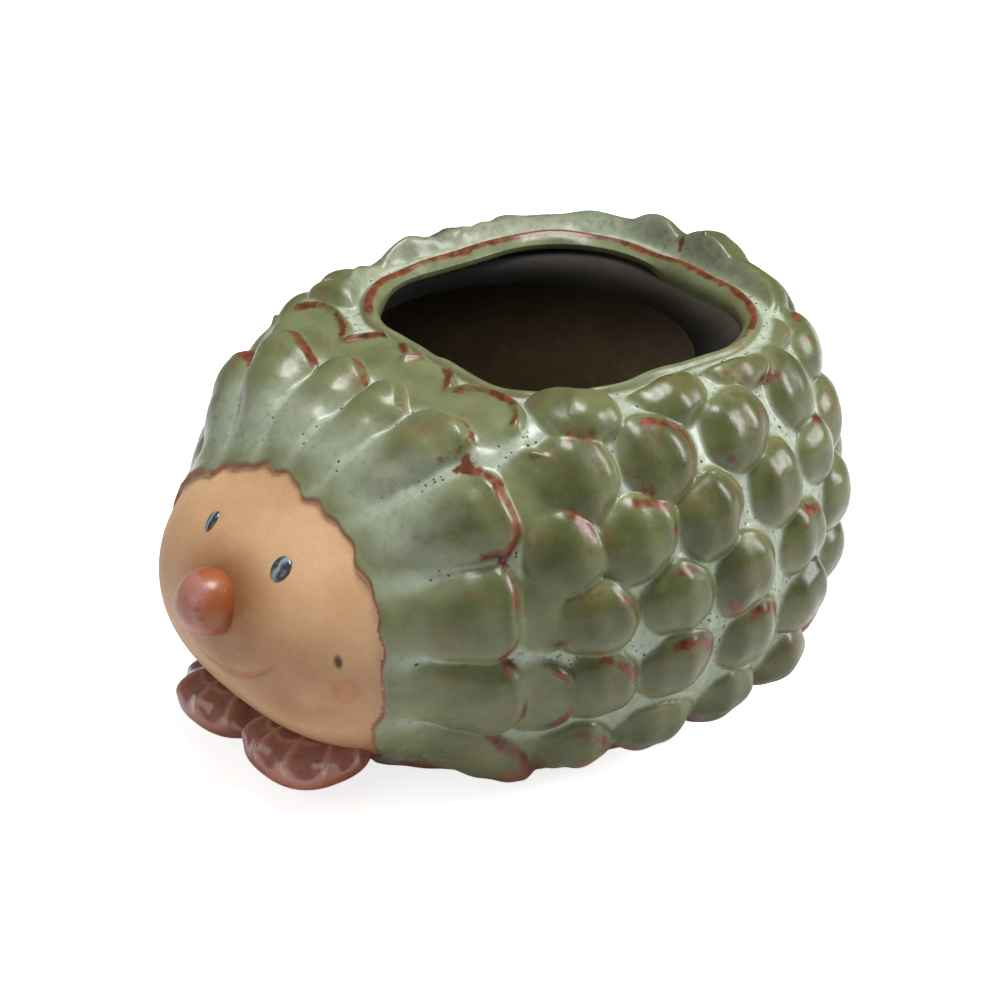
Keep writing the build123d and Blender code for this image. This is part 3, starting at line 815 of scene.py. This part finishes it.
def make_lump(name, node, start, level, fact_of, rows=90, columns=180, reach=30.0):
    """Closed lump round a start point: the skin of the shape whose level is below zero inside."""
    lift = np.linspace(-math.pi / 2, math.pi / 2, rows + 1)[1:-1, None]
    angle = np.linspace(0, 2 * math.pi, columns, endpoint=False)
    ways = np.concatenate([[[0, 0, -1.0]], ways_out(lift, angle).reshape(-1, 3), [[0, 0, 1.0]]])
    points = cast(np.asarray(start), ways, level, reach)
    mesh = bpy.data.meshes.new(name)
    faces = [tuple(dict.fromkeys(face)) for face in sphere_faces(rows, columns).tolist()]
    mesh.from_pydata((points * MM).tolist(), [], faces)
    mesh.update()
    return finish_piece(name, mesh, node, {key: value_at(points) for key, value_at in fact_of.items()})


# %% Nose
NOSE_CENTRE = np.array([0.8, -89.4, 52.5])
NOSE_RADIUS = 8.5


def nose_level(points):
    """A ball, a little wider than tall, with slow dents from the fingers."""
    away = points - NOSE_CENTRE
    dent = 0.18 * np.sin(away[..., 0] * 0.5 + 1.0) * np.sin(away[..., 2] * 0.45 + 0.3)
    ball = np.sqrt((away[..., 0] / 1.02) ** 2 + away[..., 1] ** 2 + (away[..., 2] / 0.98) ** 2)
    return ball - NOSE_RADIUS - dent


def nose_side(points):
    """-1 on the nose's front right and 1 on its back left: the wash was wiped thinner on one side."""
    return (points - NOSE_CENTRE) @ np.array([0.62, 0.78, 0.1]) / NOSE_RADIUS


nose = make_lump("nose_ball", "nose", NOSE_CENTRE, nose_level, {"side": nose_side})
print("nose:", 2 * NOSE_RADIUS, "mm across")


# %% Eyes
def face_point(x, z):
    """Point and normal on the bare face at a place seen from the front."""
    y = np.linspace(-60.0, -100.0, 4001)
    level = body_level(np.stack([np.full_like(y, x), y, np.full_like(y, z)], -1))
    place = np.array([x, y[np.argmax(level > 0)], z])
    step = 0.05
    slope = [body_level(place + step * axis) - body_level(place - step * axis) for axis in np.eye(3)]
    return place, np.array(slope) / np.linalg.norm(slope)


def make_eye(side, x, z, wide, tall, lean):
    """A bead pressed flat in the face: an ellipsoid along the face's own level and upright ways."""
    place, normal = face_point(x, z)
    level_way = np.cross(normal, [0, 0, 1.0])
    level_way /= np.linalg.norm(level_way)
    up_way = np.cross(level_way, normal)
    turned_level = level_way * math.cos(lean) + up_way * math.sin(lean)
    turned_up = up_way * math.cos(lean) - level_way * math.sin(lean)
    middle = place - normal * 0.2

    def eye_level(points):
        away = points - middle
        across, up, deep = away @ turned_level, away @ turned_up, away @ normal
        return np.sqrt((across / wide) ** 2 + (up / tall) ** 2 + (deep / 1.1) ** 2) - 1

    # The value across the eye places its painted highlight.
    highlight_across = {"highlight_across": lambda points: (points - middle) @ turned_level / wide}
    return make_lump(side + "_eye_bead", side + "_eye", middle, eye_level, highlight_across, 40, 64, 8.0)


eyes = [make_eye("left", 17.6, 65.4, 3.0, 3.4, 0.1), make_eye("right", -11.8, 65.8, 2.0, 3.2, -0.2)]
print("eyes:", len(eyes))

# %% Paws
TOE_RIDGES = 16
PAW_REACH = np.array([15.8, 14.6, 7.4])
PAW_SIDE, PAW_FRONT, PAW_HEIGHT = 15.2, -71.6, 12.2


def toe_angle(away, sign):
    """Angle round a point behind the paw, from which its toes fan out."""
    return np.arctan2(away[..., 0] * sign, 12.0 - away[..., 1]) + 0.06


def paw_ridge(away, sign):
    """1 on the thin pinched ridges between the toes and on the edge above them, 0 elsewhere."""
    ridge = np.maximum(np.cos(TOE_RIDGES * toe_angle(away, sign)), 0) ** 6
    edge = hump(np.hypot(away[..., 0] / PAW_REACH[0], away[..., 1] / PAW_REACH[1]), 0.62, 0.05)
    return np.maximum(ridge, 0.8 * edge) * smooth_step(-1.5, 2.5, away[..., 2])


def make_paw(side, sign):
    """A squat roll of clay, pinched on its upper half into toes with thin ridges between them."""
    middle = np.array([sign * PAW_SIDE, PAW_FRONT, PAW_HEIGHT])

    def paw_level(points):
        away = points - middle
        level = (np.abs(away / PAW_REACH) ** 2.5).sum(-1) ** 0.4 - 1
        toes = 0.5 - 0.5 * np.cos(TOE_RIDGES * toe_angle(away, sign))
        hollow = toes * smooth_step(-1.5, 3.0, away[..., 2])
        return level * 9.0 + 0.8 * hollow - 0.35 * paw_ridge(away, sign)

    ridge = {"ridge": lambda points: paw_ridge(points - middle, sign)}
    return make_lump(side + "_paw_pad", side + "_paw", middle, paw_level, ridge, 130, 300)


paws = [make_paw("left", 1), make_paw("right", -1)]
print("paws:", len(paws))

# %% [markdown]
# ## The green glaze
#
# The green glaze is one that breaks: thin on a crest it burns to rust brown, thick in a groove it
# turns pale and milky with tiny pinholes. The mesh already knows its crests and grooves, so the
# material mixes its colours by those values and by noise on the object's own coordinates.

# %% Node helpers
def new_material(name):
    """Empty node material with a Principled shader."""
    material = bpy.data.materials.new(name)
    material.use_nodes = True
    tree = material.node_tree
    tree.nodes.clear()
    output = tree.nodes.new("ShaderNodeOutputMaterial")
    shader = tree.nodes.new("ShaderNodeBsdfPrincipled")
    tree.links.new(shader.outputs["BSDF"], output.inputs["Surface"])
    return material, tree, shader


def set_inputs(node, values):
    """Plain values for a node's inputs, by the inputs' names."""
    for name, value in values.items():
        node.inputs[name].default_value = value


def coat_pieces(pieces, made, colours, values):
    """Joins the mixed colours to the shader, sets its plain values, and puts the material on pieces."""
    material, tree, shader = made
    tree.links.new(colours, shader.inputs["Base Color"])
    set_inputs(shader, values)
    for piece in pieces:
        piece.data.materials.append(material)
    print(material.name, "on", len(pieces), "pieces,", len(tree.nodes), "nodes")


def put(tree, socket, value):
    """Links a socket, or sets a plain number or colour."""
    if isinstance(value, bpy.types.NodeSocket):
        tree.links.new(value, socket)
    else:
        socket.default_value = value


def colour(red, green, blue):
    """Linear colour from 0 to 255 screen values."""
    parts = [value / 255 for value in (red, green, blue)]
    return [*(part / 12.92 if part <= 0.04045 else ((part + 0.055) / 1.055) ** 2.4 for part in parts), 1.0]


def fact(tree, name):
    """A value that the mesh keeps at every point."""
    node = tree.nodes.new("ShaderNodeAttribute")
    node.attribute_name = name
    return node.outputs["Fac"]


def own_place(tree):
    """The point's own coordinates on the piece, in metres."""
    return tree.nodes.new("ShaderNodeTexCoord").outputs["Object"]


def own_axes(tree):
    """The point's own coordinates as three single values, by the names X, Y and Z."""
    split = tree.nodes.new("ShaderNodeSeparateXYZ")
    tree.links.new(own_place(tree), split.inputs[0])
    return split.outputs


def noise(tree, scale, detail=3.0, roughness=0.55, distortion=0.0):
    """Noise on the object's own coordinates; the scale is in waves per metre."""
    node = tree.nodes.new("ShaderNodeTexNoise")
    tree.links.new(own_place(tree), node.inputs["Vector"])
    set_inputs(node, {"Scale": scale, "Detail": detail, "Roughness": roughness, "Distortion": distortion})
    return node.outputs["Fac"]


def ramp(tree, value, low, high, out_low=0.0, out_high=1.0):
    """Smooth share of the way from low to high."""
    node = tree.nodes.new("ShaderNodeMapRange")
    node.interpolation_type = "SMOOTHSTEP"
    put(tree, node.inputs["Value"], value)
    set_inputs(node, {"From Min": low, "From Max": high, "To Min": out_low, "To Max": out_high})
    return node.outputs["Result"]


def spots(tree, scale, low, high):
    """1 in small round spots and 0 elsewhere, from the distance to the nearest cell point."""
    node = tree.nodes.new("ShaderNodeTexVoronoi")
    tree.links.new(own_place(tree), node.inputs["Vector"])
    set_inputs(node, {"Scale": scale})
    return ramp(tree, node.outputs["Distance"], high, low)


def reckon(tree, kind, a, b):
    """One sum on two values: ADD, SUBTRACT or MULTIPLY."""
    node = tree.nodes.new("ShaderNodeMath")
    node.operation = kind
    put(tree, node.inputs[0], a)
    put(tree, node.inputs[1], b)
    return node.outputs[0]


def plus(tree, a, b):
    """a + b."""
    return reckon(tree, "ADD", a, b)


def times(tree, a, b):
    """a * b."""
    return reckon(tree, "MULTIPLY", a, b)


def mix(tree, share, a, b):
    """Colour a share of the way from a to b."""
    node = tree.nodes.new("ShaderNodeMix")
    node.data_type = "RGBA"
    put(tree, node.inputs[0], share)
    put(tree, node.inputs[6], a)
    put(tree, node.inputs[7], b)
    return node.outputs[2]


def bump(tree, shader, height, strength, distance):
    """Small relief on the shading, distance in metres."""
    node = tree.nodes.new("ShaderNodeBump")
    set_inputs(node, {"Strength": strength, "Distance": distance})
    put(tree, node.inputs["Height"], height)
    tree.links.new(node.outputs["Normal"], shader.inputs["Normal"])


# %% Green glaze of the bobbles, the ruff and the rim
OLIVE_DEEP = colour(59, 63, 33)
OLIVE = colour(79, 84, 46)
SAGE = colour(108, 114, 80)
MILKY = colour(154, 162, 148)
WARM = colour(98, 78, 44)
RUST = colour(108, 54, 28)
RUST_DARK = colour(74, 38, 22)
RED_CLAY = colour(122, 70, 46)
PINHOLE = colour(40, 38, 32)
FACE_LINE = colour(128, 78, 54)


def glaze_body(tree, rise, pool, fine):
    """Olive on the domes, sage on their sides, on the paler ruff and as painted light on the top, warm clouds,
    and milk in the grooves.
    """
    cloud = noise(tree, 70.0, 4.0, 0.6, 0.4)
    deep = mix(tree, ramp(tree, cloud, 0.35, 0.68), OLIVE_DEEP, OLIVE)
    # The pale value holds the ruff's paler tone and the painted light on the top.
    pale_share = plus(tree, ramp(tree, rise, 0.75, 0.1, 0.0, 0.7), fact(tree, "pale_and_top_light"))
    pale_share = times(tree, pale_share, ramp(tree, cloud, 0.25, 0.6, 0.55, 1.0))
    body = mix(tree, pale_share, deep, SAGE)
    warm_cloud = ramp(tree, noise(tree, 85.0, 5.0, 0.7), 0.48, 0.68)
    body = mix(tree, times(tree, warm_cloud, ramp(tree, rise, 0.2, 0.6, 0.1, 0.55)), body, WARM)
    milk = times(tree, pool, ramp(tree, fine, 0.3, 0.6, 0.6, 1.0))
    return mix(tree, times(tree, milk, 0.85), body, MILKY)


def broken_edges(tree, body, rise, fine):
    """Rust on the crests, a brown line where the glaze meets the face, and freckles on the domes."""
    broken = plus(tree, fact(tree, "edge"), ramp(tree, noise(tree, 110.0, 5.0, 0.7), 0.3, 0.75, -0.65, 0.35))
    rust = mix(tree, ramp(tree, fine, 0.35, 0.7), RUST_DARK, RUST)
    body = mix(tree, ramp(tree, broken, 0.25, 0.75), body, rust)
    body = mix(tree, ramp(tree, fact(tree, "behind_face"), 0.5, 0.1, 0.0, 0.9), body, FACE_LINE)
    freckle = times(tree, spots(tree, 160.0, 0.10, 0.2), ramp(tree, noise(tree, 38.0, 2.0), 0.52, 0.62))
    freckle = times(tree, freckle, ramp(tree, rise, 0.35, 0.7))
    return mix(tree, times(tree, freckle, 0.8), body, RUST)


def green_glaze(pieces):
    """The breaking glaze, with pinholes in its pools, and red clay showing near the ground."""
    made = _, tree, shader = new_material("green glaze")
    rise, pool = fact(tree, "rise"), fact(tree, "pool")
    fine = noise(tree, 420.0, 3.0, 0.6)
    body = broken_edges(tree, glaze_body(tree, rise, pool, fine), rise, fine)
    hole = times(tree, spots(tree, 620.0, 0.16, 0.26), ramp(tree, noise(tree, 120.0, 2.0), 0.43, 0.5))
    hole = times(tree, hole, ramp(tree, pool, 0.58, 0.85))
    body = mix(tree, hole, body, PINHOLE)
    uneven = ramp(tree, noise(tree, 95.0, 4.0, 0.65), 0.3, 0.7, -0.28, 0.28)
    foot = ramp(tree, plus(tree, fact(tree, "ground"), uneven), 0.5, 0.25)
    body = mix(tree, times(tree, foot, 0.9), body, RED_CLAY)
    gloss = ramp(tree, fine, 0.3, 0.7, 0.26, 0.4)
    tree.links.new(plus(tree, gloss, times(tree, foot, 0.15)), shader.inputs["Roughness"])
    relief = reckon(tree, "SUBTRACT", noise(tree, 260.0, 2.0), times(tree, hole, 2.0))
    bump(tree, shader, relief, 0.25, 0.0006)
    coat_pieces(pieces, made, body, {"Specular IOR Level": 0.28, "Coat Weight": 0.1, "Coat Roughness": 0.14})


green_glaze([tile for name, tile in tiles.items() if name != "face"])

# %% [markdown]
# ## The bare clay of the face
#
# The face was wiped clean of glaze and fired bare, so it is dull and sandy. It is darker brown round
# the nose and low on the left cheek, and painted shade darkens it along the bottom, as under light
# from above. It could be one flat colour. Two clay colours mixed by a slow noise look more like fired
# clay, and a very fine noise gives the grain, in colour and in relief.

# %% Bare clay of the face
made = _, tree, shader = new_material("bare clay of the face")
cloud = noise(tree, 45.0, 4.0, 0.6)
grain = noise(tree, 900.0, 3.0, 0.6)
clay = mix(tree, ramp(tree, cloud, 0.3, 0.7), colour(173, 133, 94), colour(190, 154, 116))
clay = mix(tree, ramp(tree, grain, 0.35, 0.75, 0.0, 0.35), clay, colour(172, 128, 94))
patchy = ramp(tree, noise(tree, 60.0, 5.0, 0.7), 0.25, 0.6, 0.55, 1.0)
# Darker brown round the nose and on the left cheek, and painted shade along the bottom, in patches.
clay = mix(tree, times(tree, fact(tree, "brown_and_low_shade"), patchy), clay, colour(134, 86, 48))
clay = mix(tree, fact(tree, "line"), clay, colour(158, 94, 62))
clay = mix(tree, fact(tree, "chip"), clay, colour(46, 26, 16))
border = ramp(tree, fact(tree, "behind_face"), -0.3, -0.02, 0.0, 0.9)
clay = mix(tree, border, clay, FACE_LINE)
bump(tree, shader, grain, 0.15, 0.0003)
coat_pieces([tiles["face"]], made, clay, {"Roughness": 0.55})

# %% [markdown]
# ## Inside the bowl
#
# The photograph shows the inside only as a dark brown, darkest under the rim. Shade alone did not make
# it dark enough, so painted shade makes the colour itself darker with height and towards the front, and
# low in the bowl a light buff is painted light. Clouds keep it from looking flat.

# %% Inside of the bowl: painted shade up the wall, painted light on the floor
made = _, tree, shader = new_material("bowl inside with painted light and shade")
cloud = noise(tree, 40.0, 5.0, 0.65, 0.3)
axes = own_axes(tree)
# Painted light: low in the bowl the colour is a light buff, standing for light that the lamps hardly bring
# there.
inside = mix(tree, ramp(tree, cloud, 0.35, 0.75), colour(142, 128, 108), colour(184, 166, 138))
# Painted shade: near black up the wall and towards the front, a little less towards the tail.
painted_shade_share = times(tree, ramp(tree, axes["Z"], 0.03, 0.085), ramp(tree, axes["Y"], 0.085, 0.03, 0.85, 1.0))
inside = mix(tree, painted_shade_share, inside, colour(14, 11, 9))
bump(tree, shader, noise(tree, 300.0), 0.2, 0.0005)
coat_pieces([bowl], made, inside, {"Roughness": 0.75, "Specular IOR Level": 0.25})

# %% [markdown]
# ## Glazes of the nose, the eyes and the paws
#
# The nose wears a brown wash, redder on one side. The eyes are dark beads with a painted highlight, a
# lighter upright band. The paws are rose brown, more orange near the ground, and pale on the ridges
# between the toes, where the glaze breaks thin and a painted highlight lies. Each is a few colours,
# mixed by the value that its shape left at every point.

# %% Brown wash on the nose
made = _, tree, shader = new_material("brown wash on the nose")
cloud = noise(tree, 160.0, 4.0, 0.65)
side_share = plus(tree, fact(tree, "side"), ramp(tree, cloud, 0.3, 0.7, -0.25, 0.25))
wash = mix(tree, ramp(tree, side_share, -0.15, 0.15), colour(150, 98, 86), colour(140, 74, 34))
wash = mix(tree, ramp(tree, noise(tree, 260.0, 5.0, 0.7), 0.5, 0.75, 0.0, 0.6), wash, colour(96, 52, 36))
bump(tree, shader, noise(tree, 500.0), 0.2, 0.0004)
coat_pieces([nose], made, wash, {"Roughness": 0.42, "Coat Weight": 0.12})

# %% Dark glaze of the eyes
made = _, tree, shader = new_material("dark glaze of the eyes")
highlight_across = fact(tree, "highlight_across")
band = plus(tree, highlight_across, ramp(tree, noise(tree, 300.0, 3.0), 0.2, 0.8, -0.25, 0.25))
# Painted highlight: a lighter upright band across each eye, as the tall lamp would put on a glossy bead.
painted_highlight = times(tree, ramp(tree, band, -0.3, 0.0), ramp(tree, band, 0.45, 0.15, 0.0, 0.8))
dark = mix(tree, ramp(tree, noise(tree, 900.0), 0.4, 0.7), colour(44, 48, 54), colour(70, 78, 86))
dark = mix(tree, painted_highlight, dark, colour(136, 144, 148))
coat_pieces(eyes, made, dark, {"Roughness": 0.2})

# %% Rose brown glaze of the paws
made = _, tree, shader = new_material("rose brown glaze of the paws")
uneven = ramp(tree, noise(tree, 120.0, 4.0, 0.65), 0.3, 0.7, -0.3, 0.3)
height_share = plus(tree, ramp(tree, own_axes(tree)["Z"], 0.006, 0.015), uneven)
rose = mix(tree, ramp(tree, height_share, 0.2, 0.8), colour(150, 76, 42), colour(146, 92, 78))
rose = mix(tree, ramp(tree, noise(tree, 350.0, 3.0), 0.55, 0.75, 0.0, 0.5), rose, colour(112, 58, 42))
# Pale on the toe ridges and the top edge: the glaze breaking thin there, and painted highlight where the
# ridges catch the light.
rose = mix(tree, times(tree, fact(tree, "ridge"), 0.55), rose, colour(196, 150, 128))
bump(tree, shader, noise(tree, 300.0), 0.2, 0.0004)
coat_pieces(paws, made, rose, {"Roughness": 0.24, "Coat Weight": 0.4, "Coat Roughness": 0.1})

# %% [markdown]
# ## Floor and light
#
# The planter stands on a plain white floor, lit as in a small photo tent: a tall soft lamp behind it
# on the right gives each bobble its highlight, with weaker ones above and on the left. The white round
# it could come from strong lamps, but they would wash out the glaze. So the floor glows and the world
# is white only to the camera.

# %% Floor
FLOOR_REACH = 3.0
FLOOR_GLOW = 0.8
floor_mesh = bpy.data.meshes.new("floor")
floor_corners = [(x * FLOOR_REACH, y * FLOOR_REACH, 0) for x, y in ((-1, -1), (1, -1), (1, 1), (-1, 1))]
floor_mesh.from_pydata(floor_corners, [], [(0, 1, 2, 3)])
floor = bpy.data.objects.new("floor", floor_mesh)
bpy.context.scene.collection.objects.link(floor)
floor_paint, tree, shader = new_material("white floor")
set_inputs(shader, {"Base Color": (0.86, 0.86, 0.86, 1), "Roughness": 0.9, "Specular IOR Level": 0.1})
path = tree.nodes.new("ShaderNodeLightPath")
glow = times(tree, path.outputs["Is Camera Ray"], FLOOR_GLOW)
set_inputs(shader, {"Emission Color": (1, 1, 1, 1)})
tree.links.new(glow, shader.inputs["Emission Strength"])
floor.data.materials.append(floor_paint)
print("floor:", 2 * FLOOR_REACH, "m wide")

# %% White world
WORLD_LIGHT = 0.15
world = bpy.data.worlds.new("white tent")
world.use_nodes = True
bpy.context.scene.world = world
tree = world.node_tree
tree.nodes.clear()
kinds = ("OutputWorld", "MixShader", "LightPath")
output, both, path = (tree.nodes.new("ShaderNode" + kind) for kind in kinds)
seen, light = (tree.nodes.new("ShaderNodeBackground") for _ in range(2))
set_inputs(seen, {"Color": (1, 1, 1, 1)})
set_inputs(light, {"Color": (1, 1, 1, 1), "Strength": WORLD_LIGHT})
tree.links.new(path.outputs["Is Camera Ray"], both.inputs[0])
tree.links.new(light.outputs[0], both.inputs[1])
tree.links.new(seen.outputs[0], both.inputs[2])
tree.links.new(both.outputs[0], output.inputs["Surface"])
print("world light:", WORLD_LIGHT)


# %% Lamps
def soft_lamp(name, place, aim, wide, tall, watts):
    """Area lamp at a place, turned to face a point."""
    data = bpy.data.lights.new(name, "AREA")
    data.shape = "RECTANGLE"
    data.size, data.size_y = wide, tall
    data.energy = watts
    lamp = bpy.data.objects.new(name, data)
    way = np.array(aim) - np.array(place)
    lamp.location = place
    lamp.rotation_euler = (math.atan2(math.hypot(way[0], way[1]), -way[2]), 0.0, math.atan2(-way[0], way[1]))
    bpy.context.scene.collection.objects.link(lamp)
    print(name, watts, "W")


LAMP_AIM = (0, 0, 0.05)
soft_lamp("tall lamp behind on the right", (0.55, 0.75, 0.5), LAMP_AIM, 0.3, 0.6, 10.0)
soft_lamp("lamp above", (0.05, 0.05, 0.95), LAMP_AIM, 0.4, 0.4, 12.0)
soft_lamp("lamp on the left", (0.1, -1.0, 0.6), LAMP_AIM, 0.6, 0.6, 2.1)
